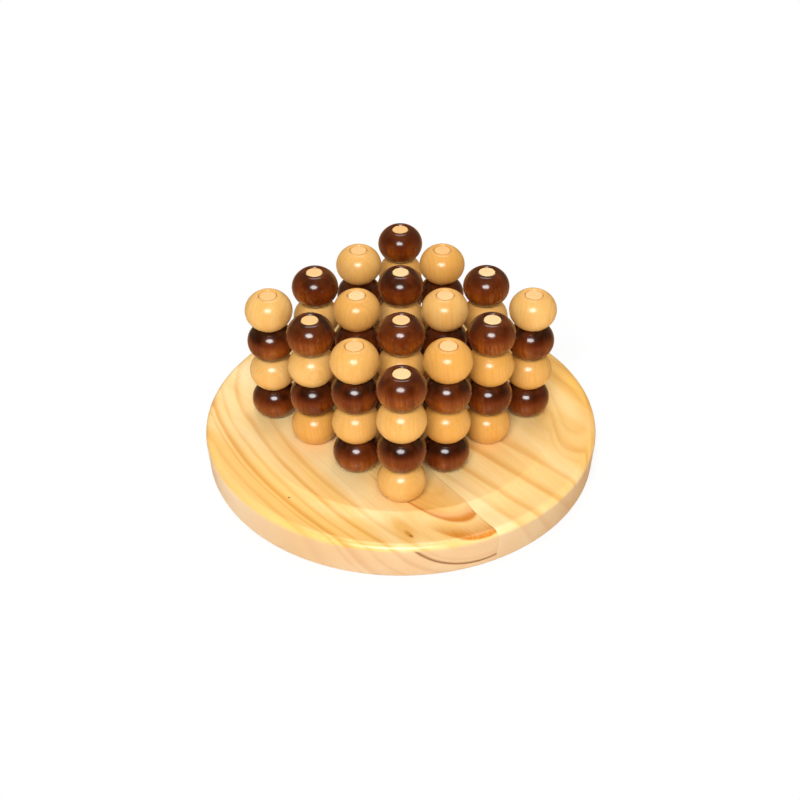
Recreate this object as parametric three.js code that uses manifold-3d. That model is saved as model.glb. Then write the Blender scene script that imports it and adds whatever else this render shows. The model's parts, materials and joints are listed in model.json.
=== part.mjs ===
// Tic-tac-toe in three dimensions: a turned round base with a square grid of upright rods,
// and bored wooden beads in two colours that are threaded on the rods, a stack to each rod.
// Millimetres, +Z up. The origin is the middle of the base's underside.
import * as THREE from 'three';
import { mergeVertices } from 'three/addons/utils/BufferGeometryUtils.js';
import Module from 'manifold-3d';

// Driving dimensions

// The game: rods along each side of the grid, and beads stacked on each rod.
const GRID_RODS = 4;
const STACK_BEADS = 4;

// Beads: a flat land of this width runs round each end of the bore.
const BEAD_DIAMETER = 25.3;
const BEAD_HEIGHT = 19.2;
const BEAD_LAND_WIDTH = 1.75;
const BORE_CLEARANCE = 0.35; // between the bore's wall and the rod, all round

// Rods: glued into the base, and ending a little below the top of a full stack.
const ROD_DIAMETER = 9;
const ROD_SOCKET_DEPTH = 14;
const ROD_END_SHY = 0.3;
const ROD_END_CHAMFER = 0.5;

// Room for fingers between the beads of neighbouring rods.
const FINGER_GAP = 7.7;

// Base: a flat middle that just holds the corner beads, a shallow cove round it, a rounded rim,
// and a side that tapers in a little towards the foot. It is as thick as the rods' sockets are
// deep, and the floor of wood that is left under them.
const BASE_SOCKET_FLOOR = 8.2;
const BASE_FLAT_MARGIN = 1.5;
const BASE_COVE_WIDTH = 11;
const BASE_COVE_DROP = 2.3;
const BASE_RIM_WIDTH = 14.1;
const BASE_RIM_SLOPE = 3.5; // degrees, from the lowest part of the cove up to the rim
const BASE_RIM_RADIUS = 4;
const BASE_SIDE_TAPER = 0.8;
const BASE_FOOT_CHAMFER = 1;

// Facets
const BEAD_SIDES = 14;
const BASE_SIDES = 60;
const BEAD_ARC_STEPS = 4;
const RIM_ARC_STEPS = 3;
const COVE_ARC_STEPS = 3;

// Derived sizes
const BEAD_RADIUS = BEAD_DIAMETER / 2;
const ROD_RADIUS = ROD_DIAMETER / 2;
const BORE_RADIUS = ROD_RADIUS + BORE_CLEARANCE;
const LAND_RADIUS = BORE_RADIUS + BEAD_LAND_WIDTH;
const BASE_THICKNESS = ROD_SOCKET_DEPTH + BASE_SOCKET_FLOOR;
const ROD_PITCH = BEAD_DIAMETER + FINGER_GAP;
const GRID_SPAN = (GRID_RODS - 1) * ROD_PITCH;
const STACK_HEIGHT = STACK_BEADS * BEAD_HEIGHT;
const FLAT_RADIUS = GRID_SPAN * Math.SQRT1_2 + BEAD_RADIUS + BASE_FLAT_MARGIN;
const COVE_RADIUS = FLAT_RADIUS + BASE_COVE_WIDTH;
const BASE_RADIUS = COVE_RADIUS + BASE_RIM_WIDTH;

// Columns that stand out of sight behind the others: the middle ones, and one far corner.
// The two lowest beads there are one solid.
const isMiddle = (index) => index > 1 && index < GRID_RODS;
const hasPair = (row, column) => (isMiddle(row) && isMiddle(column)) || (row === GRID_RODS && column === 1);

const COLOURS = { base: 0xf0c987, light: 0xeebb74, dark: 0x6a2d12 };
const FINISH = { roughness: 0.28, metalness: 0 };

// A solid of revolution about +Z from an outline of [radius, height] points.
function turned(outline, sides) {
  const points = outline.map(([radius, height]) => new THREE.Vector2(radius, height));
  return new THREE.LatheGeometry(points, sides).rotateX(Math.PI / 2);
}

// The round outside of one bead, from its lower land to its upper one: an ellipse whose
// widest point is half way up, and that passes through the outer edge of both lands.
function beadArc(bottom) {
  const half = BEAD_HEIGHT / 2;
  const tilt = Math.acos(LAND_RADIUS / BEAD_RADIUS);
  const crown = half / Math.sin(tilt);
  return Array.from({ length: BEAD_ARC_STEPS + 1 }, (_, step) => {
    const angle = tilt * (2 * step / BEAD_ARC_STEPS - 1);
    return [BEAD_RADIUS * Math.cos(angle), bottom + half + crown * Math.sin(angle)];
  });
}

// One bead, or several resting on each other, with the bore running through.
function beadStack(count) {
  const arcs = Array.from({ length: count }, (_, index) => beadArc(index * BEAD_HEIGHT));
  const outside = arcs.flatMap((arc, index) => (index === 0 ? arc : arc.slice(1)));
  const height = count * BEAD_HEIGHT;
  const outline = [[BORE_RADIUS, 0], ...outside, [BORE_RADIUS, height], [BORE_RADIUS, 0]];
  return turned(outline, BEAD_SIDES);
}

// Points along an arc, from one angle to another.
function arcPoints([radius, height], size, from, to, steps) {
  return Array.from({ length: steps + 1 }, (_, step) => {
    const angle = from + (to - from) * step / steps;
    return [radius + size * Math.cos(angle), height + size * Math.sin(angle)];
  });
}

// The disc: flat foot, side, rounded rim, cove and flat middle.
function disc() {
  const up = Math.PI / 2;
  const slope = THREE.MathUtils.degToRad(BASE_RIM_SLOPE);
  const low = BASE_THICKNESS - BASE_COVE_DROP;
  // The rim's rounding runs from the side to the slope that comes up out of the cove.
  const slopeWidth = BASE_RIM_WIDTH - BASE_RIM_RADIUS * (1 + Math.sin(slope));
  const rimHeight = low + slopeWidth * Math.tan(slope) - BASE_RIM_RADIUS * Math.cos(slope);
  const rim = arcPoints([BASE_RADIUS - BASE_RIM_RADIUS, rimHeight], BASE_RIM_RADIUS, 0, up + slope, RIM_ARC_STEPS);
  // The cove is level at its lowest part and steepest where it meets the flat.
  const steep = 2 * Math.atan(BASE_COVE_DROP / BASE_COVE_WIDTH);
  const coveArc = BASE_COVE_WIDTH / Math.sin(steep);
  const cove = arcPoints([COVE_RADIUS, low + coveArc], coveArc, -up, -up - steep, COVE_ARC_STEPS);
  const footRadius = BASE_RADIUS - BASE_SIDE_TAPER;
  const foot = [[footRadius - BASE_FOOT_CHAMFER, 0], [footRadius, BASE_FOOT_CHAMFER]];
  return turned([[0, 0], ...foot, ...rim, ...cove, [0, BASE_THICKNESS]], BASE_SIDES);
}

// A dowel from the floor of its socket to its chamfered end, at the top of the stack.
function rod() {
  const bottom = BASE_THICKNESS - ROD_SOCKET_DEPTH;
  const top = BASE_THICKNESS + STACK_HEIGHT - ROD_END_SHY;
  const end = [[ROD_RADIUS, top - ROD_END_CHAMFER], [ROD_RADIUS - ROD_END_CHAMFER, top]];
  return turned([[0, bottom], [ROD_RADIUS, bottom], ...end, [0, top]], BEAD_SIDES);
}

const wasm = await Module();
wasm.setup();

// A closed solid from a geometry, with shared corners merged and empty triangles left out.
function solid(geometry) {
  const bare = geometry.clone();
  bare.deleteAttribute('normal');
  bare.deleteAttribute('uv');
  const merged = mergeVertices(bare);
  const corners = Array.from(merged.index.array);
  const triangles = [];
  for (let i = 0; i < corners.length; i += 3) {
    const [a, b, c] = corners.slice(i, i + 3);
    if (a !== b && b !== c && c !== a) triangles.push(a, b, c);
  }
  return new wasm.Manifold(new wasm.Mesh({
    numProp: 3,
    vertProperties: merged.attributes.position.array,
    triVerts: Uint32Array.from(triangles),
  }));
}

// The joined solid as a geometry again.
function geometryOf(joined) {
  const mesh = joined.getMesh();
  const geometry = new THREE.BufferGeometry();
  geometry.setAttribute('position', new THREE.BufferAttribute(mesh.vertProperties, 3));
  geometry.setIndex(new THREE.BufferAttribute(mesh.triVerts, 1));
  geometry.computeVertexNormals();
  return geometry;
}

// Where a rod stands along one side of the grid, counted from 1.
const gridPlace = (index) => (index - 1) * ROD_PITCH - GRID_SPAN / 2;

const COLUMNS = [];
for (let row = 1; row <= GRID_RODS; row += 1) {
  for (let column = 1; column <= GRID_RODS; column += 1) {
    COLUMNS.push({ row, column, x: gridPlace(column), y: gridPlace(row) });
  }
}

const game = new THREE.Group();

function add(name, geometry, colour) {
  const mesh = new THREE.Mesh(geometry, new THREE.MeshStandardMaterial({ color: colour, ...FINISH }));
  mesh.name = name;
  game.add(mesh);
  return mesh;
}

// Base and rods are glued for good, so they are one solid.
const dowel = rod();
const board = COLUMNS.reduce(
  (joined, { x, y }) => joined.add(solid(dowel.clone().translate(x, y, 0))),
  solid(disc()),
);
add('base_with_rods', geometryOf(board), COLOURS.base);

// Beads: light and dark alternate along every row, column and stack.
const singleBead = beadStack(1);
const pairedBeads = beadStack(2);
for (const { row, column, x, y } of COLUMNS) {
  const paired = hasPair(row, column);
  if (paired) {
    const pair = add(`bead_pair_r${row}_c${column}_l1_l2`, pairedBeads, COLOURS.light);
    pair.position.set(x, y, BASE_THICKNESS);
  }
  for (let level = paired ? 3 : 1; level <= STACK_BEADS; level += 1) {
    const shade = (row + column + level) % 2 === 1 ? 'dark' : 'light';
    const bead = add(`${shade}_bead_r${row}_c${column}_l${level}`, singleBead, COLOURS[shade]);
    bead.position.set(x, y, BASE_THICKNESS + (level - 1) * BEAD_HEIGHT);
  }
}

export default game;
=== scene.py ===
# %% [markdown]
# # Tic-tac-toe in three dimensions, in turned and lacquered wood
# The real game is a round pine board with sixteen dowels glued into it, and sixty-four bored
# beads that are dropped on the dowels, half of them natural and half stained dark.
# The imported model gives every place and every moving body. This lesson only adds the looks:
# finely turned shapes, wood that is solid all the way through, and a gloss lacquer.

# %% Load the frame
import json
import math
import random
import re

import bmesh
import bpy
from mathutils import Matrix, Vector


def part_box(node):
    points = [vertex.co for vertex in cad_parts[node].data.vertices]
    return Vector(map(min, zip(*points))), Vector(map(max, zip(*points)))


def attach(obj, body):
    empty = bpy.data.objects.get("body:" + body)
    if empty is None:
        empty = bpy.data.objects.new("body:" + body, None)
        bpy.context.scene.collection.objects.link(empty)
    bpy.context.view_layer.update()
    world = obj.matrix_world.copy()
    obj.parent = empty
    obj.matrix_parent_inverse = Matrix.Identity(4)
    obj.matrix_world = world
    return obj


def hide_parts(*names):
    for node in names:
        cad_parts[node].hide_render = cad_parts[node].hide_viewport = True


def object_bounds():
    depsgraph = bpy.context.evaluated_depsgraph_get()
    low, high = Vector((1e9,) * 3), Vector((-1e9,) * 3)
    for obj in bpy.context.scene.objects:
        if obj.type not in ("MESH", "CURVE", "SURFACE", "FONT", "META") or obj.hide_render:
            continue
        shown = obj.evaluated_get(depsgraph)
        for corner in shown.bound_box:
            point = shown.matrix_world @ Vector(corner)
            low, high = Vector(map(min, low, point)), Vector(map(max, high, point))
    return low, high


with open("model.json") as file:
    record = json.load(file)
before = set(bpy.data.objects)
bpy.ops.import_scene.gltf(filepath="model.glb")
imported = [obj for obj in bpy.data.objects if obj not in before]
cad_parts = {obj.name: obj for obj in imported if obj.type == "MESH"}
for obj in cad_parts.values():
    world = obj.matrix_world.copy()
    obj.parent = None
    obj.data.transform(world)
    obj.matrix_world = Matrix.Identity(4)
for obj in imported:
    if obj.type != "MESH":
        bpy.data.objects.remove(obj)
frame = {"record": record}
cad_low, cad_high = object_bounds()
print("CAD box", tuple(cad_low), tuple(cad_high))

# %% [markdown]
# ## Sizes
# The sizes come from the frame where a node's box shows them, so that nothing is typed twice.
# What a box can't show, such as the bore of a bead, is named here in metres.

# %% Sizes
MM = 0.001
BASE_NODE, ROOT_BODY = "base_with_rods", "base"
first_low, first_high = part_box("light_bead_r1_c4_l1")
last_low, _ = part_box("light_bead_r4_c4_l4")
BEAD_DIAMETER = first_high.y - first_low.y
BEAD_HEIGHT = first_high.z - first_low.z
BASE_TOP = first_low.z
BASE_RADIUS = cad_high.x
GRID_RODS = 4
ROD_PITCH = (last_low.y - first_low.y) / (GRID_RODS - 1)
ROD_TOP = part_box(BASE_NODE)[1].z
ROD_RADIUS = 4.5 * MM
BORE_CLEARANCE = 0.35 * MM
LAND_WIDTH = 1.75 * MM
print("bead", BEAD_DIAMETER, BEAD_HEIGHT, "pitch", ROD_PITCH, "base radius", BASE_RADIUS)

# %% [markdown]
# ## Helpers for node trees
# A node tree can be clicked together by hand, but in a script every link takes a line. So small
# helpers make a node, fill its sockets and give back the result's socket, and a formula reads
# almost like a sum. They serve shader trees and Geometry Nodes alike.

# %% Helpers for node trees
def add_node(tree, kind, inputs=None, **settings):
    made = tree.nodes.new(kind)
    for name, value in settings.items():
        setattr(made, name, value)
    for key, value in (inputs or {}).items():
        if isinstance(value, bpy.types.NodeSocket):
            tree.links.new(value, made.inputs[key])
        else:
            made.inputs[key].default_value = value
    return made


def calc(tree, operation, *values):
    return add_node(tree, "ShaderNodeMath", dict(enumerate(values)), operation=operation).outputs[0]


def vector_calc(tree, operation, *values, output=0):
    made = add_node(tree, "ShaderNodeVectorMath", dict(enumerate(values)), operation=operation)
    return made.outputs[output]


def join_xyz(tree, x, y, z):
    return add_node(tree, "ShaderNodeCombineXYZ", {0: x, 1: y, 2: z}).outputs[0]


def split_xyz(tree, vector):
    return add_node(tree, "ShaderNodeSeparateXYZ", {0: vector}).outputs


def remap(tree, value, low, high, to_low=0.0, to_high=1.0, smooth=True):
    made = add_node(tree, "ShaderNodeMapRange", {0: value, 1: low, 2: high, 3: to_low, 4: to_high})
    made.interpolation_type = "SMOOTHSTEP" if smooth else "LINEAR"
    return made.outputs[0]


def noise(tree, inputs, dimensions="3D"):
    return add_node(tree, "ShaderNodeTexNoise", inputs, noise_dimensions=dimensions).outputs[0]


def add_sockets(tree, direction, sockets):
    for name, kind, *default in sockets:
        made = tree.interface.new_socket(name=name, in_out=direction, socket_type="NodeSocket" + kind)
        if default:
            made.default_value = default[0]


print("node helpers ready")

# %% [markdown]
# ## Wood as a solid
# Wood isn't painted on: growth rings are long nested tubes round the pith, and a turned surface
# cuts through them. An unwrapped picture of grain would break at its seams. So one shader group
# works the rings out in space, and lines on a face and arcs on end grain follow by themselves.
# Its X runs along the grain. Dowels and beads use its rings, and the board its fibres.

# %% Growth rings and fibres
WANDER_ALONG = 0.35
GROWTH_SCALE, GROWTH_SPREAD = 0.45, 2.2
LATE_STARTS, LATE_FULL = 0.3, 0.85
FAINTEST_RING = 0.35
FIBRE_CONTRAST, MOTTLE_CONTRAST = (0.35, 0.65), (0.3, 0.7)
MOTTLE_STRETCH = (0.6, 1.7, 1.7)


def make_wood_figure():
    tree = bpy.data.node_groups.new("wood_figure", "ShaderNodeTree")
    add_sockets(tree, "INPUT", [
        ("Vector", "Vector"), ("Ring Spacing", "Float", 0.006), ("Wander", "Float", 0.004),
        ("Wander Length", "Float", 0.06), ("Fibre Width", "Float", 0.0006),
        ("Fibre Length", "Float", 0.02)])
    add_sockets(tree, "OUTPUT", [("Rings", "Float"), ("Fibres", "Float"), ("Mottle", "Float")])
    given = add_node(tree, "NodeGroupInput").outputs
    x, y, z = split_xyz(tree, given["Vector"])
    across = calc(tree, "DIVIDE", 1.0, given["Wander Length"])
    along = calc(tree, "MULTIPLY", across, WANDER_ALONG)
    wander_at = join_xyz(tree, calc(tree, "MULTIPLY", x, along), calc(tree, "MULTIPLY", y, across),
                         calc(tree, "MULTIPLY", z, across))
    wander = noise(tree, {"Vector": wander_at, "Scale": 1.0, "Detail": 2.0})
    shift = calc(tree, "MULTIPLY", calc(tree, "SUBTRACT", wander, 0.5), given["Wander"])
    from_pith = vector_calc(tree, "LENGTH", join_xyz(tree, 0.0, y, z), output=1)
    even = calc(tree, "DIVIDE", calc(tree, "ADD", from_pith, shift), given["Ring Spacing"])
    growth = noise(tree, {"W": even, "Scale": GROWTH_SCALE, "Detail": 1.0}, "1D")
    turns = calc(tree, "ADD", even, calc(tree, "MULTIPLY", growth, GROWTH_SPREAD))
    year = calc(tree, "FRACT", turns)
    late = calc(tree, "MULTIPLY", remap(tree, year, LATE_STARTS, LATE_FULL),
                remap(tree, year, 1.0, LATE_FULL))
    strength = add_node(tree, "ShaderNodeTexWhiteNoise", {"W": calc(tree, "FLOOR", turns)},
                        noise_dimensions="1D").outputs[0]
    shown = remap(tree, strength, 0.0, 1.0, FAINTEST_RING, 1.0, smooth=False)
    rings = calc(tree, "MULTIPLY", late, shown)
    fine = calc(tree, "DIVIDE", 1.0, given["Fibre Width"])
    long = calc(tree, "DIVIDE", 1.0, given["Fibre Length"])
    fibre_at = join_xyz(tree, calc(tree, "MULTIPLY", x, long), calc(tree, "MULTIPLY", y, fine),
                        calc(tree, "MULTIPLY", z, fine))
    fibres = noise(tree, {"Vector": fibre_at, "Scale": 1.0, "Detail": 3.0})
    mottle_at = vector_calc(tree, "MULTIPLY", wander_at, MOTTLE_STRETCH)
    mottle = noise(tree, {"Vector": mottle_at, "Scale": 1.0, "Detail": 3.0})
    add_node(tree, "NodeGroupOutput", {"Rings": rings, "Fibres": remap(tree, fibres, *FIBRE_CONTRAST),
                                       "Mottle": remap(tree, mottle, *MOTTLE_CONTRAST)})
    return tree


def figure(tree, vector, **sizes):
    """The wood figure at a place, with its sizes in metres."""
    inputs = {"Vector": vector, **{key.replace("_", " ").title(): value for key, value in sizes.items()}}
    return add_node(tree, "ShaderNodeGroup", inputs, node_tree=wood_figure).outputs


wood_figure = make_wood_figure()
print("shader group", wood_figure.name, "with", len(wood_figure.nodes), "nodes")

# %% [markdown]
# ## Lacquer
# A lacquer is a clear coat over the wood. The Principled shader has one built in, so every
# finish here shares a starter that sets the coat on the shader's own sockets. Wood soaked with
# lacquer bends light as the lacquer does, so only the coat's own surface reflects. The coat sinks
# in a little with the grain, so it is thinner in places, and the fibres stand up under it.

# %% Lacquered wood starter
LACQUER_IOR = 1.45
FIBRE_BUMP, FINE_FIBRES = 0.15, 0.1 * MM
FULL_COAT = 1.0
THINNEST_COAT = 0.85
WOOD_ROUGHNESS = (0.4, 0.52)


def srgb(code):
    """A colour code as the linear values that shaders take."""
    channels = [int(code[i:i + 2], 16) / 255 for i in (0, 2, 4)]
    return tuple(c / 12.92 if c <= 0.04045 else ((c + 0.055) / 1.055) ** 2.4 for c in channels) + (1.0,)


def start_lacquer(name, coat_roughness):
    material = bpy.data.materials.new(name)
    material.use_nodes = True
    shader = material.node_tree.nodes["Principled BSDF"]
    shader.inputs["Specular IOR Level"].default_value = 0.0
    shader.inputs["Coat Roughness"].default_value = coat_roughness
    shader.inputs["Coat IOR"].default_value = LACQUER_IOR
    return material, material.node_tree, shader


def lay_coat(tree, shader, full, pattern, fibres, depth):
    """A coat that thins out by a pattern, on wood whose fibres stand up by a depth."""
    coat = remap(tree, pattern, 0.0, 1.0, full, full * THINNEST_COAT, smooth=False)
    tree.links.new(coat, shader.inputs["Coat Weight"])
    matte = remap(tree, pattern, 0.0, 1.0, *WOOD_ROUGHNESS, smooth=False)
    tree.links.new(matte, shader.inputs["Roughness"])
    bump = add_node(tree, "ShaderNodeBump", {"Strength": FIBRE_BUMP, "Distance": depth, "Height": fibres})
    tree.links.new(bump.outputs[0], shader.inputs["Normal"])


def blend_colour(tree, amount, first, second):
    # A Mix node has sockets for each kind of data, and these are the ones for colours.
    made = add_node(tree, "ShaderNodeMix", data_type="RGBA")
    for socket, value in ((made.inputs[0], amount), (made.inputs[6], first), (made.inputs[7], second)):
        if isinstance(value, bpy.types.NodeSocket):
            tree.links.new(value, socket)
        else:
            socket.default_value = value
    return made.outputs[2]


print("lacquer starter ready")

# %% [markdown]
# ## Boards of the panel
# Pine boards are glued edge to edge into a panel, and the disc is turned from that panel. The
# boards run a little askew to the rods. A Mapping node turns the coordinates to the boards, and
# masks say which board a spot is on, and whether the face there is level or upright.

# %% Boards of the panel
BOARD_TURN = math.radians(9.0)
BOARD_WIDTH = 112 * MM
GLUE_LINE, GLUE_LINE_WIDTH = -18.3 * MM, 0.35 * MM
LEVEL_FACE, UPRIGHT_FACE = 0.55, 0.1
# edge is the side's pale painted sheen; end is end grain, partly darkened as painted shade.
PINE = {"pale": srgb("ffe8b2"), "gold": srgb("f5bc56"), "late": srgb("e09b36"), "flame": srgb("d07c0a"),
        "bark": srgb("8f5426"), "end": srgb("cdac8d"), "edge": srgb("f2e2cc"), "glue": srgb("b98445")}


def panel_place(tree):
    """Places along, across and up the boards, and the masks that each part of the finish needs."""
    coordinates = add_node(tree, "ShaderNodeTexCoord").outputs
    turn = {"Vector": coordinates["Object"], "Rotation": (0, 0, BOARD_TURN)}
    turned = add_node(tree, "ShaderNodeMapping", turn).outputs[0]
    at = {"spot": turned, "normal": coordinates["Normal"]}
    at["x"], at["y"], at["z"] = split_xyz(tree, at["spot"])
    at["boards"] = calc(tree, "DIVIDE", calc(tree, "SUBTRACT", at["y"], GLUE_LINE), BOARD_WIDTH)
    at["rear"] = calc(tree, "GREATER_THAN", at["boards"], 0.0)
    at["front"] = calc(tree, "SUBTRACT", 1.0, at["rear"])
    at["upright"] = remap(tree, split_xyz(tree, at["normal"])[2], LEVEL_FACE, UPRIGHT_FACE)
    return at


print("boards", BOARD_WIDTH, "m wide, colours", list(PINE))

# %% [markdown]
# The board shows few rings, each with its own breadth, so here they are listed instead of left
# to chance. A ring is a tube round the heart of the tree, which leans through the board. Late
# wood darkens slowly outwards and ends at once, so each ring has one soft and one sharp side.

# %% Rings round a leaning heart
DRIFT_ALONG, DRIFT_SCALE = 0.5, 30.0
SHARP_SIDE, BROADEST_SHARP = 0.35, 4
RING_POWER = 2.0


def ring_distance(tree, place, heart, drift_size):
    """How far each spot is from a heart line, with the drift of real growth."""
    x, y, z = place
    across = calc(tree, "SUBTRACT", y, calc(tree, "MULTIPLY_ADD", x, heart["skew"], heart["across"]))
    height = calc(tree, "SUBTRACT", z, calc(tree, "MULTIPLY_ADD", x, heart["climb"], heart["height"]))
    distance = vector_calc(tree, "LENGTH", join_xyz(tree, 0.0, across, height), output=1)
    swell = calc(tree, "MULTIPLY_ADD", calc(tree, "MULTIPLY", x, x), heart["swell"], 1.0)
    stretched = join_xyz(tree, calc(tree, "MULTIPLY", x, DRIFT_ALONG), y, z)
    growth = noise(tree, {"Vector": stretched, "Scale": DRIFT_SCALE, "Detail": 3.0})
    drift = calc(tree, "SUBTRACT", growth, 0.5)
    return calc(tree, "MULTIPLY_ADD", drift, drift_size, calc(tree, "MULTIPLY", distance, swell))


def dark_rings(tree, distance, rings, power=RING_POWER):
    """How dark the late wood of these rings is, each rising softly and ending at once."""
    dark = 0.0
    for radius, breadth, strength in rings:
        sharp = SHARP_SIDE * min(breadth, BROADEST_SHARP)
        rise = calc(tree, "POWER", remap(tree, distance, (radius - breadth) * MM, radius * MM), power)
        fall = remap(tree, distance, (radius + sharp) * MM, radius * MM, 0.0, strength)
        dark = calc(tree, "MAXIMUM", dark, calc(tree, "MULTIPLY", rise, fall))
    return dark


print("ring helpers ready")

# %% [markdown]
# Each board was sawn from another part of a log, so the grain jumps at the glue line. The front
# board has the heart close below its face, and its lines bow. The rear board was far from the
# heart, so its lines run almost straight, with long loops at the right. Between the rings the
# wood drifts from pale to gold.

# %% Grain of both boards
# The heart of the tree in each board: where it passes the middle of the panel, its lean, and
# how the rings close in on it towards the ends.
FRONT_HEART = {"across": -27.5 * MM, "skew": 0.037, "height": 9 * MM, "climb": 0.32, "swell": 16.7}
REAR_HEART = {"across": 71 * MM, "skew": 0.124, "height": -132 * MM, "climb": -0.021, "swell": 0.0}
# Rings in millimetres: distance from the heart, breadth of the dark wood, and how dark it is.
FRONT_RINGS = [(10, 2, 0.2), (14.5, 2, 0.25), (17.6, 1.5, 0.25), (35, 4, 0.12), (43, 4, 0.4),
               (52.5, 4, 0.62), (60, 3, 0.4), (66, 4.5, 0.75), (69, 2, 0.4), (75, 4, 0.3),
               (82, 4, 0.15), (89, 4, 0.1)]
REAR_RINGS = [(135, 3, 0.2), (140, 3, 0.2), (145, 3, 0.2), (149, 2.5, 0.2), (151.8, 1.5, 0.25),
              (153.9, 1.4, 0.5), (155.8, 1.4, 0.55), (157.5, 1.2, 0.25), (163, 2.4, 0.5),
              (168.5, 2.6, 0.55), (175.5, 2.8, 0.5), (181, 3, 0.3)]
FRONT_DRIFT, REAR_DRIFT = 3 * MM, 0.8 * MM
REAR_STEEP_ZONE, REAR_LEAN = (34 * MM, 54 * MM), (-0.3, 1.0)
# Where the rear board turns from pale, partly a painted sheen, to warm, and how far.
REAR_WARM_ZONE, REAR_WARMTH = (10 * MM, 65 * MM), (-0.22, 0.35)
OTHER_LOG = 0.7
MOTTLE_WARMTH, LEAST_WARMTH = 0.7, 0.1
RING_CONTRAST, SIDE_CONTRAST = (0.55, 1.15), 0.3
PINE_FIBRES = 0.1
PINE_FIGURE = {"ring_spacing": 0.01, "wander": 0.0, "wander_length": 0.05, "fibre_width": 0.0009,
               "fibre_length": 0.03}


def panel_grain(tree, at):
    """The colour of the grain, the distance from the front board's heart, and the fibres."""
    x, y, z = at["x"], at["y"], at["z"]
    from_heart = ring_distance(tree, (x, y, z), FRONT_HEART, FRONT_DRIFT)
    front = dark_rings(tree, from_heart, FRONT_RINGS)
    # Beside the glue line the rear board's rings stand steeper, and lean the other way.
    lean = remap(tree, y, *REAR_STEEP_ZONE, *REAR_LEAN)
    leaning = calc(tree, "MULTIPLY_ADD", calc(tree, "SUBTRACT", z, BASE_TOP), lean, BASE_TOP)
    rear = dark_rings(tree, ring_distance(tree, (x, y, leaning), REAR_HEART, REAR_DRIFT), REAR_RINGS)
    rings = remap(tree, at["rear"], 0.0, 1.0, front, rear, smooth=False)
    along = calc(tree, "MULTIPLY_ADD", at["rear"], OTHER_LOG, x)
    _, fibres, mottle = figure(tree, join_xyz(tree, along, y, z), **PINE_FIGURE)
    # The rear board is pale beside the glue line, partly a painted sheen, and warmer towards the back.
    rear_warmth = remap(tree, y, *REAR_WARM_ZONE, *REAR_WARMTH)
    board_warmth = calc(tree, "MULTIPLY_ADD", at["rear"], rear_warmth, LEAST_WARMTH)
    warmth = calc(tree, "MULTIPLY_ADD", mottle, MOTTLE_WARMTH, board_warmth)
    colour = blend_colour(tree, warmth, PINE["pale"], PINE["gold"])
    # On the side, where the rings are cut across, they stand out more.
    patchy = remap(tree, mottle, 0.2, 0.8, *RING_CONTRAST)
    contrast = calc(tree, "MULTIPLY_ADD", at["upright"], SIDE_CONTRAST, patchy)
    colour = blend_colour(tree, calc(tree, "MULTIPLY", rings, contrast), colour, PINE["late"])
    colour = blend_colour(tree, calc(tree, "MULTIPLY", fibres, PINE_FIBRES), colour, PINE["late"])
    return colour, from_heart, fibres


print(len(FRONT_RINGS), "front rings and", len(REAR_RINGS), "rear rings")

# %% [markdown]
# Where the heart comes up through the front board, at the right, the rings are cut at a slant
# and open into dark orange flames. They are rings like the others, so the same helper draws
# them, but each starts at its own place along the board. Inside them the wood glows warmer.

# %% Flames
# The ring itself, and where along the board it starts and stands out in full.
FLAMES = [((20.8, 2.0, 1.0), 30 * MM, 52 * MM), ((20.8, 6, 1.0), 60 * MM, 90 * MM),
          ((28.2, 9, 1.0), 80 * MM, 98 * MM)]
FLAME_POWER = 1.4
HEART_GLOW, GLOW_INSIDE, GLOW_SHARE = 22 * MM, 0.8, 0.42
GLOW_STARTS, GLOW_FULL = 40 * MM, 75 * MM
PALEST_STREAK = 0.87


def panel_flames(tree, at, colour, from_heart, fibres):
    inside = remap(tree, from_heart, HEART_GLOW, HEART_GLOW * GLOW_INSIDE, 0.0, GLOW_SHARE)
    glow = calc(tree, "MULTIPLY", inside, remap(tree, at["x"], GLOW_STARTS, GLOW_FULL))
    colour = blend_colour(tree, calc(tree, "MULTIPLY", glow, at["front"]), colour, PINE["late"])
    streaks = remap(tree, fibres, 0.0, 1.0, PALEST_STREAK, 1.0)
    for ring, starts, full in FLAMES:
        shown = calc(tree, "MULTIPLY", at["front"], remap(tree, at["x"], starts, full))
        flame = calc(tree, "MULTIPLY", dark_rings(tree, from_heart, [ring], FLAME_POWER), shown)
        colour = blend_colour(tree, calc(tree, "MULTIPLY", flame, streaks), colour, PINE["flame"])
    return colour


print(len(FLAMES), "flames")

# %% [markdown]
# Round the side of the disc the colour follows the way the face looks, towards one end of the
# boards only. The left is pale, a painted sheen; the right is duller, partly end grain that drinks
# the lacquer and partly painted shade. One dark ring shows there as an arc.

# %% Side of the disc
SIDE_RING = [(46, 2.6, 0.95)]
SIDE_DRIFT = 2 * MM
SIDE_SHARE = 0.65
SHEEN_FACING, SHADE_FACING = -0.15, 0.45


def panel_side(tree, at, colour):
    along_boards = (math.cos(BOARD_TURN), -math.sin(BOARD_TURN), 0.0)
    # Faces turned one way along the boards get the pale edge colour, a painted sheen; faces turned the
    # other way get the duller end colour, partly end grain and partly painted shade.
    facing = vector_calc(tree, "DOT_PRODUCT", at["normal"], along_boards, output=1)
    sheen_to_shade = remap(tree, facing, SHEEN_FACING, SHADE_FACING)
    side = blend_colour(tree, sheen_to_shade, PINE["edge"], PINE["end"])
    colour = blend_colour(tree, calc(tree, "MULTIPLY", at["upright"], SIDE_SHARE), colour, side)
    distance = ring_distance(tree, (at["x"], at["y"], at["z"]), FRONT_HEART, SIDE_DRIFT)
    arc_mask = calc(tree, "MULTIPLY", at["upright"], at["front"])
    cut_ring = calc(tree, "MULTIPLY", dark_rings(tree, distance, SIDE_RING), arc_mask)
    return blend_colour(tree, cut_ring, colour, PINE["bark"])


print("side ring at", SIDE_RING[0][0], "mm from the heart")

# %% [markdown]
# Small marks make a panel real: the hair-thin glue line, a dark speck, and a little knot with a
# glow round it. Each mark is a soft ball in space, stretched along the grain, so it stays the
# same from the top and from the side.

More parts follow.
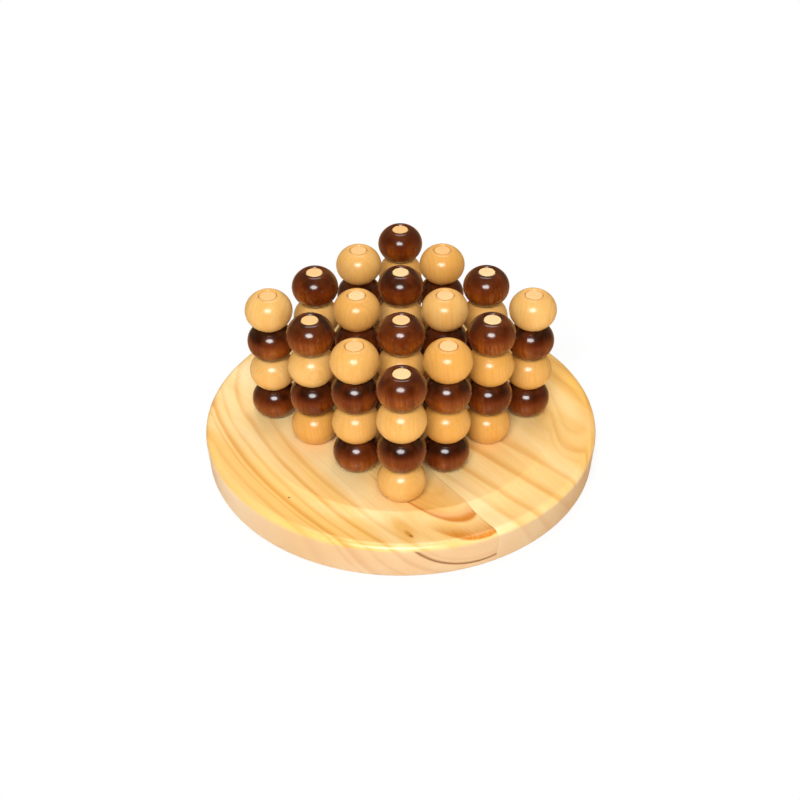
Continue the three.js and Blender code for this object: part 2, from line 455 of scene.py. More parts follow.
# %% Glue line and knots
# Place on the boards, length along the grain, breadth, share of the wood it hides, and colour.
PIN_KNOTS = [((23.1, -88.8, 20.3), 0.9, 0.9, 0.85, srgb("3a200c")),
             ((78.0, -55.0, 20.2), 13, 6, 0.55, srgb("e8a436")),
             ((81.6, -55.1, 20.0), 5, 1.9, 0.75, srgb("cb8020")),
             ((83.4, -55.0, 20.0), 1.8, 1.0, 0.8, srgb("94520f"))]
GLUE_SHARE = 0.25
KNOT_CORE = 0.3


def panel_marks(tree, at, colour):
    nearest = calc(tree, "SUBTRACT", calc(tree, "FRACT", calc(tree, "ADD", at["boards"], 0.5)), 0.5)
    from_line = calc(tree, "MULTIPLY", calc(tree, "ABSOLUTE", nearest), BOARD_WIDTH)
    seam = remap(tree, from_line, GLUE_LINE_WIDTH, GLUE_LINE_WIDTH / 3, 0.0, GLUE_SHARE)
    colour = blend_colour(tree, seam, colour, PINE["glue"])
    for place, length, breadth, share, shade in PIN_KNOTS:
        away = vector_calc(tree, "SUBTRACT", at["spot"], Vector(place) * MM)
        away = vector_calc(tree, "MULTIPLY", away, (breadth / length, 1.0, 1.0))
        away = vector_calc(tree, "LENGTH", away, output=1)
        hidden = remap(tree, away, breadth * MM, breadth * KNOT_CORE * MM, 0.0, share)
        colour = blend_colour(tree, hidden, colour, shade)
    return colour


print(len(PIN_KNOTS), "marks in the wood")

# %% [markdown]
# The finish puts the layers on each other: grain, flames, side, then the small marks. Pine is
# soft and drinks much of its lacquer, so it shines less than the beads, with a faint sheen from
# the wood below.

# %% Pine panel finish
PINE_COAT_ROUGHNESS, PINE_SHEEN = 0.28, 0.2
PINE_FIBRE_DEPTH = 0.2 * MM


def make_pine_panel():
    material, tree, shader = start_lacquer("lacquered_pine_panel", PINE_COAT_ROUGHNESS)
    at = panel_place(tree)
    colour, from_heart, fibres = panel_grain(tree, at)
    colour = panel_flames(tree, at, colour, from_heart, fibres)
    colour = panel_marks(tree, at, panel_side(tree, at, colour))
    tree.links.new(colour, shader.inputs["Base Color"])
    shader.inputs["Specular IOR Level"].default_value = PINE_SHEEN
    lay_coat(tree, shader, FULL_COAT, fibres, fibres, PINE_FIBRE_DEPTH)
    return material


pine_panel = make_pine_panel()
print("finish", pine_panel.name, "with", len(pine_panel.node_tree.nodes), "nodes")

# %% [markdown]
# ## Base board
# The disc is a solid of revolution, so its shape is one outline. Blender has a Screw modifier
# for this, but a few lines of mesh code close the two poles as well. Each outline point becomes
# a ring of vertices, and neighbouring rings are joined by faces that look outwards.

# %% Turn an outline
def arc(centre, radius, start, end, steps):
    angles = [math.radians(start + (end - start) * i / steps) for i in range(steps + 1)]
    return [(centre[0] + radius * math.cos(a), centre[1] + radius * math.sin(a)) for a in angles]


def turned_mesh(name, outline, sides):
    built = bmesh.new()
    turns = [math.tau * i / sides for i in range(sides)]
    rings = []
    for radius, height in outline:
        spots = [(radius * math.cos(turn), radius * math.sin(turn), height) for turn in turns]
        rings.append([built.verts.new(spot) for spot in (spots if radius else spots[:1])])
    for below, above in zip(rings, rings[1:]):
        for i in range(sides):
            j = (i + 1) % sides
            if len(below) == 1:
                built.faces.new((below[0], above[j], above[i]))
            elif len(above) == 1:
                built.faces.new((below[i], below[j], above[0]))
            else:
                built.faces.new((below[i], below[j], above[j], above[i]))
    mesh = bpy.data.meshes.new(name)
    built.to_mesh(mesh)
    built.free()
    mesh.shade_smooth()
    return mesh


def add_piece(name, mesh, body, slot, *nodes):
    piece = bpy.data.objects.new(name, mesh)
    bpy.context.scene.collection.objects.link(piece)
    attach(piece, body)
    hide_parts(*nodes)
    return piece


print("outline turner ready")

# %% [markdown]
# The board's outline: a flat foot with an eased edge, a side that tapers in a little, a rounded
# rim, a shallow cove, and a soft crease where the cove meets the flat middle. The construction
# has the same outline with few facets; here the arcs are fine enough to shine smoothly.

# %% Base board
FLAT_RADIUS = 84.15 * MM
CREASE_RADIUS = 3.0 * MM
COVE_WIDTH, COVE_DROP = 11.0 * MM, 2.3 * MM
RIM_SLOPE, RIM_RADIUS = math.radians(7.0), 4.0 * MM
SIDE_TAPER, FOOT_RADIUS = 0.8 * MM, 1.5 * MM
BASE_SIDES = 256
FINE_STEPS, COARSE_STEPS = 12, 6
INNER_LOOPS = (0.25, 0.5, 0.75)


def base_outline():
    cove_slope = 2 * math.atan(COVE_DROP / COVE_WIDTH)
    gentle = math.degrees(RIM_SLOPE)
    low_radius, low = FLAT_RADIUS + COVE_WIDTH, BASE_TOP - COVE_DROP
    rise_width = BASE_RADIUS - RIM_RADIUS * (1 + math.sin(RIM_SLOPE)) - low_radius
    rim_height = low + rise_width * math.tan(RIM_SLOPE / 2) - RIM_RADIUS * math.cos(RIM_SLOPE)
    cove_radius, rise_radius = COVE_WIDTH / math.sin(cove_slope), rise_width / math.sin(RIM_SLOPE)
    # The crease touches the flat above it and the cove beside it.
    rise = low + cove_radius - BASE_TOP + CREASE_RADIUS
    reach = math.sqrt((cove_radius + CREASE_RADIUS) ** 2 - rise ** 2)
    steep = math.degrees(math.atan2(reach, rise))
    crease_centre = (low_radius - reach, BASE_TOP - CREASE_RADIUS)
    foot_radius = BASE_RADIUS - SIDE_TAPER
    under = [(foot_radius * share, 0.0) for share in INNER_LOOPS]
    foot = arc((foot_radius - FOOT_RADIUS, FOOT_RADIUS), FOOT_RADIUS, -90, 0, COARSE_STEPS)
    rim = arc((BASE_RADIUS - RIM_RADIUS, rim_height), RIM_RADIUS, 0, 90 + gentle, FINE_STEPS)
    border = arc((low_radius, low + rise_radius), rise_radius, gentle - 90, -90, COARSE_STEPS)[1:]
    cove = arc((low_radius, low + cove_radius), cove_radius, -90, -90 - steep, FINE_STEPS)[1:]
    crease = arc(crease_centre, CREASE_RADIUS, 90 - steep, 90, COARSE_STEPS)[1:]
    inner = [(FLAT_RADIUS * share, BASE_TOP) for share in reversed(INNER_LOOPS)]
    return [(0, 0.0)] + under + foot + rim + border + cove + crease + inner + [(0, BASE_TOP)]


base_mesh = turned_mesh("base_board", base_outline(), BASE_SIDES)
base_mesh.materials.append(pine_panel)
add_piece("base_board", base_mesh, ROOT_BODY, "base_wood", BASE_NODE)
print("base board", len(base_mesh.polygons), "faces")

# %% [markdown]
# ## Rods
# The dowels are plain, finely sanded rods under a thin lacquer. In the photo only their round
# ends show, and their sides come to light when beads are lifted. The finish reads where a vertex
# lies on its own dowel, so the grain runs along each, and a tone that differs from rod to rod.

# %% Dowel finish
DOWEL = {"pale": srgb("f8d8a4"), "warm": srgb("eebd7c"), "ring": srgb("d9a05c")}
DOWEL_FIGURE = {"ring_spacing": 0.0016, "wander": 0.0015, "wander_length": 0.01, "fibre_width": 0.0004,
                "fibre_length": 0.012}
DOWEL_COAT_ROUGHNESS, THIN_COAT = 0.18, 0.5
DOWEL_LOG, DOWEL_PITH = 50 * MM, 4 * MM
DOWEL_RINGS, DOWEL_FIBRES = 0.3, 0.2


def read_attribute(tree, name, output):
    return add_node(tree, "ShaderNodeAttribute", attribute_name=name).outputs[output]


def make_dowel():
    material, tree, shader = start_lacquer("dowel_wood", DOWEL_COAT_ROUGHNESS)
    tone = read_attribute(tree, "tone", "Fac")
    x, y, z = split_xyz(tree, read_attribute(tree, "turned_spot", "Vector"))
    in_log = calc(tree, "MULTIPLY_ADD", tone, DOWEL_LOG, x)
    grain = join_xyz(tree, z, in_log, calc(tree, "ADD", y, DOWEL_PITH))
    rings, fibres, _ = figure(tree, grain, **DOWEL_FIGURE)
    colour = blend_colour(tree, tone, DOWEL["pale"], DOWEL["warm"])
    colour = blend_colour(tree, calc(tree, "MULTIPLY", rings, DOWEL_RINGS), colour, DOWEL["ring"])
    colour = blend_colour(tree, calc(tree, "MULTIPLY", fibres, DOWEL_FIBRES), colour, DOWEL["ring"])
    tree.links.new(colour, shader.inputs["Base Color"])
    lay_coat(tree, shader, THIN_COAT, fibres, fibres, FINE_FIBRES)
    return material


dowel_wood = make_dowel()
print("finish", dowel_wood.name)

# %% [markdown]
# The sixteen rods differ only in where they stand, so one is turned, and Geometry Nodes set
# copies on the points of a grid. Before the copies are made, each vertex stores where it lies on
# its own dowel, and each copy a random tone. Copies are realized, because a plain mesh is kept.

# %% Rod grid tree
def store_attribute(tree, geometry, name, kind, value, domain="POINT"):
    made = add_node(tree, "GeometryNodeStoreNamedAttribute", {"Geometry": geometry, "Name": name},
                    data_type=kind, domain=domain)
    tree.links.new(value, made.inputs["Value"])
    return made.outputs[0]


def finish_tree(tree, geometry, finish, output):
    real = add_node(tree, "GeometryNodeRealizeInstances", {0: geometry}).outputs[0]
    done = add_node(tree, "GeometryNodeSetMaterial", {"Geometry": real, "Material": finish}).outputs[0]
    add_node(tree, "NodeGroupOutput", {output: done})
    return tree


def make_rod_grid():
    tree = bpy.data.node_groups.new("rod_grid", "GeometryNodeTree")
    add_sockets(tree, "INPUT", [("Rod", "Object"), ("Rods Per Side", "Int", 4), ("Pitch", "Float", 0.033),
                                ("Seed", "Int", 3), ("Finish", "Material")])
    add_sockets(tree, "OUTPUT", [("Rods", "Geometry")])
    given = add_node(tree, "NodeGroupInput").outputs
    count = given["Rods Per Side"]
    span = calc(tree, "MULTIPLY", calc(tree, "SUBTRACT", count, 1.0), given["Pitch"])
    grid = add_node(tree, "GeometryNodeMeshGrid", {0: span, 1: span, 2: count, 3: count}).outputs[0]
    rod = add_node(tree, "GeometryNodeObjectInfo", {0: given["Rod"]}).outputs["Geometry"]
    spot = add_node(tree, "GeometryNodeInputPosition").outputs[0]
    marked = store_attribute(tree, rod, "turned_spot", "FLOAT_VECTOR", spot)
    copies = add_node(tree, "GeometryNodeInstanceOnPoints", {"Points": grid, "Instance": marked}).outputs[0]
    chance = add_node(tree, "FunctionNodeRandomValue", {"Seed": given["Seed"]}, data_type="FLOAT")
    tone = next(socket for socket in chance.outputs if socket.enabled)
    toned = store_attribute(tree, copies, "tone", "FLOAT", tone, "INSTANCE")
    return finish_tree(tree, toned, given["Finish"], "Rods")


rod_grid = make_rod_grid()
print("rod tree", len(rod_grid.nodes), "nodes")

# %% [markdown]
# One dowel reaches from the floor of its socket in the board to its eased end, a hair below the
# top of a full stack. The tree runs on an empty object, and its result is taken as a plain mesh.

# %% Rods
ROD_SUNK, ROD_EDGE = 14 * MM, 0.5 * MM
ROD_SIDES, ROD_EDGE_STEPS = 40, 5
ROD_SEED = 3


def grow(name, tree, values):
    """Run a Geometry Nodes tree with these inputs and give back its result as a plain mesh."""
    maker = bpy.data.objects.new(name, bpy.data.meshes.new(name + "_start"))
    bpy.context.scene.collection.objects.link(maker)
    modifier = maker.modifiers.new("grow", "NODES")
    modifier.node_group = tree
    keys = {s.name: s.identifier for s in tree.interface.items_tree if s.in_out == "INPUT"}
    for label, value in values.items():
        modifier[keys[label]] = value
    evaluated = maker.evaluated_get(bpy.context.evaluated_depsgraph_get())
    mesh = bpy.data.meshes.new_from_object(evaluated)
    bpy.data.objects.remove(maker)
    mesh.name = name
    return mesh


rod_bottom = BASE_TOP - ROD_SUNK
rod_edge = arc((ROD_RADIUS - ROD_EDGE, ROD_TOP - ROD_EDGE), ROD_EDGE, 0, 90, ROD_EDGE_STEPS)
rod_end = rod_edge + [(ROD_RADIUS / 2, ROD_TOP), (0, ROD_TOP)]
rod_outline = [(0, rod_bottom), (ROD_RADIUS, rod_bottom)] + rod_end
one_rod = bpy.data.objects.new("one_rod", turned_mesh("one_rod", rod_outline, ROD_SIDES))
bpy.context.scene.collection.objects.link(one_rod)
rods_mesh = grow("rods", rod_grid, {"Rod": one_rod, "Rods Per Side": GRID_RODS, "Pitch": ROD_PITCH,
                                    "Seed": ROD_SEED, "Finish": dowel_wood})
bpy.data.objects.remove(one_rod)
add_piece("rods", rods_mesh, ROOT_BODY, "base_wood", BASE_NODE)
print("rods", len(rods_mesh.polygons), "faces")

# %% [markdown]
# ## Beads
# Every bead is the same turned shape, so its rule goes into one Geometry Nodes tree. A flat grid
# is rolled up: one side runs round the bead, the other round its cross-section. The section is
# measured from its middle, and ends at whatever is nearest: the round outside, the flat land or
# the bore. A smooth minimum of the three rounds the edges, as sanding does.

# %% Bead section
NEAR_ZERO = 0.001


def bead_section(tree, given, cos, sin):
    """The middle of the section, and the distance from there to the surface all the way round."""
    outer = calc(tree, "MULTIPLY", given["Diameter"], 0.5)
    bore = calc(tree, "MULTIPLY", given["Bore"], 0.5)
    half = calc(tree, "MULTIPLY", given["Height"], 0.5)
    land = calc(tree, "ADD", bore, given["Land Width"])
    share = calc(tree, "POWER", calc(tree, "DIVIDE", land, outer), 2.0)
    crown = calc(tree, "DIVIDE", half, calc(tree, "SQRT", calc(tree, "SUBTRACT", 1.0, share)))
    middle = calc(tree, "MULTIPLY", calc(tree, "ADD", outer, bore), 0.5)
    # The ray from the section's middle meets the ellipse of the outside.
    wide = calc(tree, "POWER", calc(tree, "DIVIDE", cos, outer), 2.0)
    a = calc(tree, "ADD", wide, calc(tree, "POWER", calc(tree, "DIVIDE", sin, crown), 2.0))
    b = calc(tree, "DIVIDE", calc(tree, "MULTIPLY", middle, cos), calc(tree, "MULTIPLY", outer, outer))
    c = calc(tree, "SUBTRACT", calc(tree, "POWER", calc(tree, "DIVIDE", middle, outer), 2.0), 1.0)
    inside = calc(tree, "SUBTRACT", calc(tree, "MULTIPLY", b, b), calc(tree, "MULTIPLY", a, c))
    root = calc(tree, "SQRT", inside)
    to_outside = calc(tree, "DIVIDE", calc(tree, "SUBTRACT", root, b), a)
    to_land = calc(tree, "DIVIDE", half, calc(tree, "MAXIMUM", calc(tree, "ABSOLUTE", sin), NEAR_ZERO))
    inward = calc(tree, "MAXIMUM", calc(tree, "MULTIPLY", cos, -1.0), NEAR_ZERO)
    to_bore = calc(tree, "DIVIDE", calc(tree, "SUBTRACT", middle, bore), inward)
    reach = calc(tree, "SMOOTH_MIN", to_outside, to_land, given["Edge Rounding"])
    return middle, calc(tree, "SMOOTH_MIN", reach, to_bore, given["Edge Rounding"])


print("bead section ready")

# %% [markdown]
# The tree rolls the grid by setting every vertex's position, merges the two seams, and stores on
# each vertex where it lies on its own bead, the bead's tone, and its place in the log. Only then
# does the bead move to its rod, so the finish is the same wherever the bead stands.

# %% Bead tree
SEAM_GAP = 1e-6


def make_bead_tree():
    tree = bpy.data.node_groups.new("turned_bead", "GeometryNodeTree")
    add_sockets(tree, "INPUT", [
        ("Diameter", "Float", 0.025), ("Height", "Float", 0.0192), ("Bore", "Float", 0.01),
        ("Land Width", "Float", 0.00175), ("Edge Rounding", "Float", 0.0006), ("Sides", "Int", 64),
        ("Section Points", "Int", 64), ("Place", "Vector"), ("Tone", "Float", 0.5),
        ("Grain Place", "Vector"), ("Finish", "Material")])
    add_sockets(tree, "OUTPUT", [("Bead", "Geometry")])
    given = add_node(tree, "NodeGroupInput").outputs
    more = [calc(tree, "ADD", given[name], 1.0) for name in ("Sides", "Section Points")]
    sheet = add_node(tree, "GeometryNodeMeshGrid", {0: 1.0, 1: 1.0, 2: more[0], 3: more[1]}).outputs[0]
    flat_x, flat_y, _ = split_xyz(tree, add_node(tree, "GeometryNodeInputPosition").outputs[0])
    round_bead = calc(tree, "MULTIPLY", calc(tree, "ADD", flat_x, 0.5), math.tau)
    round_section = calc(tree, "MULTIPLY", calc(tree, "ADD", flat_y, 0.5), math.tau)
    cos, sin = calc(tree, "COSINE", round_section), calc(tree, "SINE", round_section)
    middle, reach = bead_section(tree, given, cos, sin)
    radius = calc(tree, "ADD", middle, calc(tree, "MULTIPLY", reach, cos))
    spot = join_xyz(tree, calc(tree, "MULTIPLY", radius, calc(tree, "COSINE", round_bead)),
                    calc(tree, "MULTIPLY", radius, calc(tree, "SINE", round_bead)),
                    calc(tree, "MULTIPLY", reach, sin))
    rolled = add_node(tree, "GeometryNodeSetPosition", {"Geometry": sheet, "Position": spot}).outputs[0]
    seams = {"Geometry": rolled, "Distance": SEAM_GAP}
    bead = add_node(tree, "GeometryNodeMergeByDistance", seams).outputs[0]
    own_place = add_node(tree, "GeometryNodeInputPosition").outputs[0]
    bead = store_attribute(tree, bead, "turned_spot", "FLOAT_VECTOR", own_place)
    bead = store_attribute(tree, bead, "tone", "FLOAT", given["Tone"])
    bead = store_attribute(tree, bead, "grain_place", "FLOAT_VECTOR", given["Grain Place"])
    placed = add_node(tree, "GeometryNodeSetPosition", {"Geometry": bead, "Offset": given["Place"]})
    smooth = add_node(tree, "GeometryNodeSetShadeSmooth", {"Geometry": placed.outputs[0]}).outputs[0]
    return finish_tree(tree, smooth, given["Finish"], "Bead")


bead_tree = make_bead_tree()
print("bead tree", len(bead_tree.nodes), "nodes")

# %% [markdown]
# Natural beads are clear-lacquered: honey-coloured wood with faint rings and fine fibres. The
# grain runs along the bore, leaning a little, and every bead is cut from another place of the
# log, so no two look alike.

# %% Natural bead finish
NATURAL = {"pale": srgb("e9bb72"), "warm": srgb("dc9638"), "late": srgb("b06c22")}
NATURAL_FIGURE = {"ring_spacing": 0.0026, "wander": 0.004, "wander_length": 0.014, "fibre_width": 0.0005,
                  "fibre_length": 0.009}
NATURAL_COAT_ROUGHNESS = 0.23
NATURAL_MOTTLE, NATURAL_TONE, NATURAL_RINGS, NATURAL_FIBRES = 0.35, 0.8, 0.14, 0.12
GRAIN_LEAN = 0.15


def bead_grain(tree, **sizes):
    """Where each spot lies on its own bead, and the wood figure there."""
    spot = read_attribute(tree, "turned_spot", "Vector")
    x, y, z = split_xyz(tree, spot)
    upright = join_xyz(tree, z, calc(tree, "MULTIPLY_ADD", z, GRAIN_LEAN, x), y)
    in_log = vector_calc(tree, "ADD", upright, read_attribute(tree, "grain_place", "Vector"))
    return spot, figure(tree, in_log, **sizes)


def make_natural_bead():
    material, tree, shader = start_lacquer("natural_bead_lacquer", NATURAL_COAT_ROUGHNESS)
    tone = read_attribute(tree, "tone", "Fac")
    _, (rings, fibres, mottle) = bead_grain(tree, **NATURAL_FIGURE)
    colour = NATURAL["pale"]
    for pattern, share, shade in ((mottle, NATURAL_MOTTLE, "warm"), (tone, NATURAL_TONE, "warm"),
                                  (rings, NATURAL_RINGS, "late"), (fibres, NATURAL_FIBRES, "late")):
        colour = blend_colour(tree, calc(tree, "MULTIPLY", pattern, share), colour, NATURAL[shade])
    tree.links.new(colour, shader.inputs["Base Color"])
    lay_coat(tree, shader, FULL_COAT, mottle, fibres, FINE_FIBRES)
    return material


natural_bead = make_natural_bead()
print("finish", natural_bead.name)

# %% [markdown]
# The dark beads are stained red-brown in uneven patches, and the grain shows where the stain is thin.
# Painted by height over it: painted shade nearly black towards both ends of the bore, red above
# the waist, and a painted orange-brown bounce glow below the waist.

# %% Stained bead finish
# glow is the stain's orange-brown, which stays below the waist as a painted bounce glow.
STAINED = {"glow": srgb("b05c18"), "red": srgb("66270a"), "deep": srgb("190803")}
STAINED_FIGURE = {"ring_spacing": 0.003, "wander": 0.005, "wander_length": 0.014, "fibre_width": 0.0005,
                  "fibre_length": 0.01}
STAINED_COAT_ROUGHNESS = 0.16
STAINED_RINGS, STAINED_FIBRES = 0.6, 0.42
STAINED_TONE, LEAST_STAIN = 0.35, 0.1
# Heights from the waist as shares of the bead's height, where each change starts and is full:
# the red, the painted shade towards the top, and the painted shade towards the bottom.
RED_ZONE, UPPER_ZONE, LOWER_ZONE = (-0.04, 0.16), (0.06, 0.38), (-0.18, -0.42)
REDDEST, LOWER_SHADE, DARKEST_SHADE = 0.7, 0.8, 0.86
UPPER_SHADE, UPPER_TONE = 0.46, 0.5
UNEVEN = (0.68, 1.3)


def painted_shade_by_height(tree, height, tone, mottle):
    """Painted red and painted shade at a height above the bead's waist, in uneven stain patches."""
    zones = (RED_ZONE, UPPER_ZONE, LOWER_ZONE)
    red, high, low = ([share * BEAD_HEIGHT for share in zone] for zone in zones)
    reddened = remap(tree, height, *red, 0.0, REDDEST)
    upper_shade = calc(tree, "MULTIPLY_ADD", tone, UPPER_TONE, UPPER_SHADE)
    upper = remap(tree, height, *high, 0.0, upper_shade)
    lower = remap(tree, height, *low, 0.0, LOWER_SHADE)
    uneven = remap(tree, mottle, 0.0, 1.0, *UNEVEN, smooth=False)
    shade_patches = calc(tree, "MULTIPLY", calc(tree, "MAXIMUM", upper, lower), uneven)
    return reddened, calc(tree, "MINIMUM", shade_patches, DARKEST_SHADE)


def make_stained_bead():
    material, tree, shader = start_lacquer("stained_bead_lacquer", STAINED_COAT_ROUGHNESS)
    tone = read_attribute(tree, "tone", "Fac")
    spot, (rings, fibres, mottle) = bead_grain(tree, **STAINED_FIGURE)
    reddened, shade_patches = painted_shade_by_height(tree, split_xyz(tree, spot)[2], tone, mottle)
    colour = blend_colour(tree, mottle, STAINED["glow"], STAINED["red"])
    colour = blend_colour(tree, calc(tree, "MULTIPLY", rings, STAINED_RINGS), colour, STAINED["red"])
    colour = blend_colour(tree, calc(tree, "MULTIPLY", fibres, STAINED_FIBRES), colour, STAINED["deep"])
    toned = calc(tree, "MULTIPLY_ADD", tone, STAINED_TONE, LEAST_STAIN)
    colour = blend_colour(tree, toned, colour, STAINED["red"])
    # Painted by height: red above the waist, then painted shade towards both ends of the bore.
    colour = blend_colour(tree, reddened, colour, STAINED["red"])
    colour = blend_colour(tree, shade_patches, colour, STAINED["deep"])
    tree.links.new(colour, shader.inputs["Base Color"])
    lay_coat(tree, shader, FULL_COAT, mottle, fibres, FINE_FIBRES)
    return material


stained_bead = make_stained_bead()
print("finish", stained_bead.name)

# %% [markdown]
# Each bead becomes a mesh of its own, because each rides on its own body and lifts off alone.
# A node that holds two beads, low in a hidden stack, gets two pieces that ride together. Beads
# that the photo shows well are in three groups, light, middle and deep. Chance gives the others
# their tone, and every bead its place in the log.

# %% Thread the beads
EDGE_ROUNDING = 0.7 * MM
BEAD_SIDES, SECTION_POINTS = 64, 80
LOG_SIZE, NEAREST_PITH = 0.05, 0.2
BEAD_SEED = 11
# Row, column and level of the beads in each group. The groups are partly painted shade: beads
# low in the stacks, under others, mostly get the deeper tones.
TONE_GROUPS = {
    0.15: [(4, 1, 4), (4, 3, 4), (1, 1, 4), (1, 1, 2), (2, 3, 4), (4, 4, 4), (1, 4, 4),
           (2, 1, 4), (3, 4, 4)],
    0.45: [(1, 3, 4), (1, 3, 2), (1, 4, 1), (1, 2, 4), (3, 2, 4), (1, 2, 2), (1, 3, 1), (1, 4, 3),
           (3, 4, 2), (4, 4, 1), (4, 4, 3)],
    0.8: [(2, 4, 4), (2, 4, 2), (3, 4, 3), (1, 1, 1), (1, 1, 3), (1, 3, 3), (2, 4, 3), (1, 4, 2),
          (2, 4, 1), (1, 2, 1), (3, 4, 1)]}
BEAD_TONES = {bead: tone for tone, beads in TONE_GROUPS.items() for bead in beads}
MOST_CHANCE_TONE = 0.75
FINISHES = {"light": natural_bead, "dark": stained_bead}
chance = random.Random(BEAD_SEED)
bead_shape = {"Diameter": BEAD_DIAMETER, "Height": BEAD_HEIGHT, "Bore": 2 * (ROD_RADIUS + BORE_CLEARANCE),
              "Land Width": LAND_WIDTH, "Edge Rounding": EDGE_ROUNDING, "Sides": BEAD_SIDES,
              "Section Points": SECTION_POINTS}


def thread_bead(row, column, level, body, node):
    """Make one bead, place it on its rod and let it ride on its body."""
    shade = "dark" if (row + column + level) % 2 else "light"
    low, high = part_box(node)
    height = BASE_TOP + (level - 0.5) * BEAD_HEIGHT
    tone = BEAD_TONES.get((row, column, level), MOST_CHANCE_TONE * chance.random())
    along, across = chance.random(), chance.uniform(-1, 1) * LOG_SIZE
    from_pith = chance.uniform(NEAREST_PITH, 1) * LOG_SIZE
    place = Vector(((low.x + high.x) / 2, (low.y + high.y) / 2, height))
    values = {**bead_shape, "Place": place, "Tone": tone, "Grain Place": Vector((along, across, from_pith)),
              "Finish": FINISHES[shade]}
    name = f"turned_{shade}_r{row}_c{column}_l{level}"
    return add_piece(name, grow(name, bead_tree, values), body, shade + "_bead", node)


threaded = []
for body, nodes in frame["record"]["behaviour"]["bodies"].items():
    found = re.search(r"r(\d)_c(\d)_l(\d)(?:_l(\d))?$", body)
    if found:
        row, column, lowest = (int(digit) for digit in found.groups()[:3])
        highest = int(found.group(4) or lowest)
        for level in range(lowest, highest + 1):
            threaded.append(thread_bead(row, column, level, body, nodes[0]))
print(len(threaded), "beads of", len(threaded[0].data.polygons), "faces")

# %% [markdown]
# ## Stage
# The photo is a plain product shot, white all round, with a faint shadow under the game. The
# floor is a matte sheet that glows to the camera alone, less so close to the game, where its
# shadow should stay. Gloss sees the sheet in a warm tone, as the game stands on its own light.

# %% Floor
FLOOR_HALF, FLOOR_DROP = 6.0, 0.2 * MM
FLOOR_GLOW = 0.8
FLOOR_COLOUR, FLOOR_IN_GLOSS = srgb("f5f5f5"), srgb("c09a6c")
SHADOW_REACH = (0.12, 0.3)
WHITE = (1.0, 1.0, 1.0, 1.0)


def make_white_floor():
    material = bpy.data.materials.new("white_floor")
    material.use_nodes = True
    tree = material.node_tree
    tree.nodes.clear()
    path = add_node(tree, "ShaderNodeLightPath").outputs
    paper = blend_colour(tree, path["Is Glossy Ray"], FLOOR_COLOUR, FLOOR_IN_GLOSS)
    matte = add_node(tree, "ShaderNodeBsdfDiffuse", {"Color": paper}).outputs[0]
    white = add_node(tree, "ShaderNodeEmission", {"Color": WHITE, "Strength": 1.0}).outputs[0]
    away = vector_calc(tree, "LENGTH", add_node(tree, "ShaderNodeTexCoord").outputs["Object"], output=1)
    glow = remap(tree, away, *SHADOW_REACH, FLOOR_GLOW, 1.0)
    share = calc(tree, "MULTIPLY", path["Is Camera Ray"], glow)
    mixed = add_node(tree, "ShaderNodeMixShader", {0: share, 1: matte, 2: white})
    add_node(tree, "ShaderNodeOutputMaterial", {"Surface": mixed.outputs[0]})
    return material


sides = [(-1, -1), (1, -1), (1, 1), (-1, 1)]
corners = [(x * FLOOR_HALF, y * FLOOR_HALF, -FLOOR_DROP) for x, y in sides]
floor_mesh = bpy.data.meshes.new("floor")
floor_mesh.from_pydata(corners, [], [(0, 1, 2, 3)])
floor_mesh.materials.append(make_white_floor())
floor = bpy.data.objects.new("floor", floor_mesh)
bpy.context.scene.collection.objects.link(floor)
print("floor", FLOOR_HALF * 2, "m wide")

# %% [markdown]
# Gloss shows the whole room. The world is white to the camera, gives a mild even light, and in
# reflections it is dark on the camera's side, where a studio is, and brighter on the far side
# and overhead. A picture of a studio could do this too, but a few numbers are enough.

# %% World
AIM = Vector((0, 0, 29.5 * MM))
CAMERA_AZIMUTH, CAMERA_ELEVATION = 44.7, 37.2
AMBIENT = 0.13
DARK_SIDE, BRIGHT_SIDE, OVERHEAD = 0.03, 0.3, 0.4
FAR_SIDE, NEAR_SIDE, OVERHEAD_STARTS = -0.2, 0.7, 0.45
ROOM_IN_GLOSS = srgb("ffe6bc")


def outward(azimuth, elevation):
    a, e = math.radians(azimuth), math.radians(elevation)
    return Vector((math.sin(a) * math.cos(e), -math.cos(a) * math.cos(e), math.sin(e)))


def make_world():
    world = bpy.data.worlds.new("white_studio")
    bpy.context.scene.world = world
    world.use_nodes = True
    tree = world.node_tree
    tree.nodes.clear()
    path = add_node(tree, "ShaderNodeLightPath").outputs
    way = add_node(tree, "ShaderNodeTexCoord").outputs["Generated"]
    to_camera = vector_calc(tree, "DOT_PRODUCT", way, outward(CAMERA_AZIMUTH, CAMERA_ELEVATION), output=1)
    mirrored = remap(tree, to_camera, FAR_SIDE, NEAR_SIDE, BRIGHT_SIDE, DARK_SIDE)
    above = remap(tree, split_xyz(tree, way)[2], OVERHEAD_STARTS, 1.0, 0.0, OVERHEAD)
    mirrored = calc(tree, "MAXIMUM", mirrored, above)
    strength = remap(tree, path["Is Glossy Ray"], 0.0, 1.0, AMBIENT, mirrored, smooth=False)
    seen = calc(tree, "MAXIMUM", path["Is Camera Ray"], path["Is Transmission Ray"])
    strength = remap(tree, seen, 0.0, 1.0, strength, 1.0, smooth=False)
    tint = blend_colour(tree, path["Is Glossy Ray"], WHITE, ROOM_IN_GLOSS)
    back = add_node(tree, "ShaderNodeBackground", {"Color": tint, "Strength": strength})
    add_node(tree, "ShaderNodeOutputWorld", {"Surface": back.outputs[0]})


make_world()
print("world ambient", AMBIENT)

# %% [markdown]
# ## Light
# One soft box stands beside the camera, and every bead shows it as a small bright window. A
# second one on the ceiling shines along the crease of the board. Three large ones only fill the
# shadows, so gloss doesn't see them. Stands are placed by azimuth and elevation round the game.

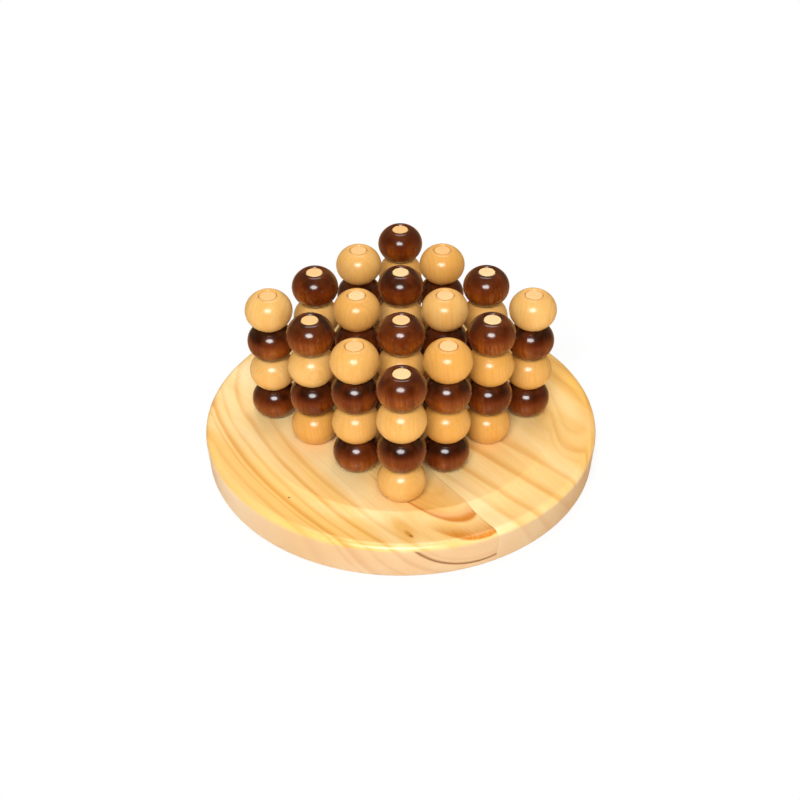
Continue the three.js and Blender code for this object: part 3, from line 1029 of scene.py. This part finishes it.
# %% Soft boxes
# Azimuth, elevation and distance of the stand, width, height, share of full white, and whether
# gloss shows the box.
SOFT_BOXES = {"front_soft_box": ((39.5, 43.0, 1.5), 0.82, 0.5, 0.98, True),
              "ceiling_soft_box": ((225.0, 74.0, 1.5), 0.9, 0.6, 0.3, True),
              "low_soft_box": ((5.0, 6.0, 1.6), 2.4, 0.9, 0.13, False),
              "right_soft_box": ((118.0, 12.0, 1.6), 1.8, 0.9, 0.12, False),
              "rear_soft_box": ((225.0, 36.0, 1.6), 2.4, 1.2, 0.34, False)}


def tripod(azimuth, elevation, distance):
    out = outward(azimuth, elevation)
    return AIM + out * distance, (-out).to_track_quat("-Z", "Y")


def add_soft_box(name, place, width, height, share, in_gloss):
    """A soft box that alone would light a white card facing it to this share of full white."""
    distance = place[2]
    lamp = bpy.data.lights.new(name, "AREA")
    lamp.shape = "ELLIPSE"
    lamp.size, lamp.size_y = width, height
    lamp.energy = share * (math.pi * distance) ** 2
    stand = bpy.data.objects.new(name, lamp)
    bpy.context.scene.collection.objects.link(stand)
    stand.rotation_mode = "QUATERNION"
    stand.location, stand.rotation_quaternion = tripod(*place)
    stand.visible_glossy = in_gloss


for name, settings in SOFT_BOXES.items():
    add_soft_box(name, *settings)
print(len(bpy.data.lights), "soft boxes")

# %% [markdown]
# ## Camera
# The camera looks along the grid's diagonal, down at the game, from about arm's length. Its
# place and lens were found by matching the rods' ends and the board's outline with the photo.

# %% Camera
CAMERA_DISTANCE = 0.689
CAMERA_LENS, SENSOR_WIDTH = 55.45, 36.0
CAMERA_SHIFT = -0.0011
NEAREST, FARTHEST = 0.01, 50.0
camera = bpy.data.objects.new("camera", bpy.data.cameras.new("camera"))
bpy.context.scene.collection.objects.link(camera)
camera.rotation_mode = "QUATERNION"
camera.location, camera.rotation_quaternion = tripod(CAMERA_AZIMUTH, CAMERA_ELEVATION, CAMERA_DISTANCE)
camera.data.lens = CAMERA_LENS
camera.data.shift_x = CAMERA_SHIFT
camera.data.sensor_width = SENSOR_WIDTH
camera.data.clip_start, camera.data.clip_end = NEAREST, FARTHEST
bpy.context.scene.camera = camera
bpy.context.scene.view_settings.view_transform = "Standard"
print("camera at", tuple(round(v, 3) for v in camera.location))
